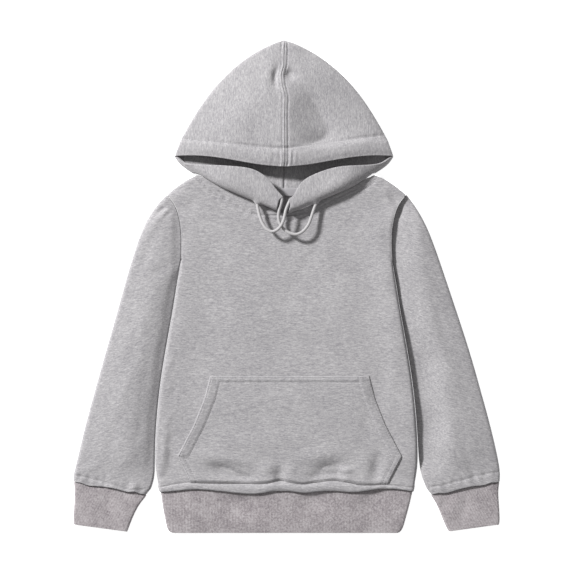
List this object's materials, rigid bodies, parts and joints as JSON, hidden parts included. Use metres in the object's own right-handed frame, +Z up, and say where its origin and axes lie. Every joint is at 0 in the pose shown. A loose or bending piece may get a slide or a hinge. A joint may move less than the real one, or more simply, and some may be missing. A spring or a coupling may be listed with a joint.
{
  "type": "toddler hoodie",
  "caption": "Toddler's pullover hooded sweatshirt with a pouch pocket, ribbed hem and cuffs and looped drawcords, laid flat on its back.",
  "frame": {"origin": "middle of the footprint, on the surface that the hoodie lies on", "axes": "+X across the chest to the right of the picture, which is the wearer's left; +Y from the hem to the top of the hood; +Z up from the surface, out of the chest"},
  "size_m": [0.5136, 0.592, 0.0236],
  "materials": {
    "fleece": "heather grey brushed fleece, matt",
    "rib": "heather grey knitted rib, matt",
    "cord": "heather grey braided cord"
  },
  "bodies": {
    "root": {"front_panel": "fleece", "back_panel": "fleece", "sleeve_left": "fleece", "sleeve_right": "fleece", "cuff_left": "rib", "cuff_right": "rib", "hem_band": "rib", "pocket": "fleece", "hood_left": "fleece", "hood_right": "fleece", "drawcord_left": "cord", "drawcord_right": "cord"}
  },
  "joints": []
}
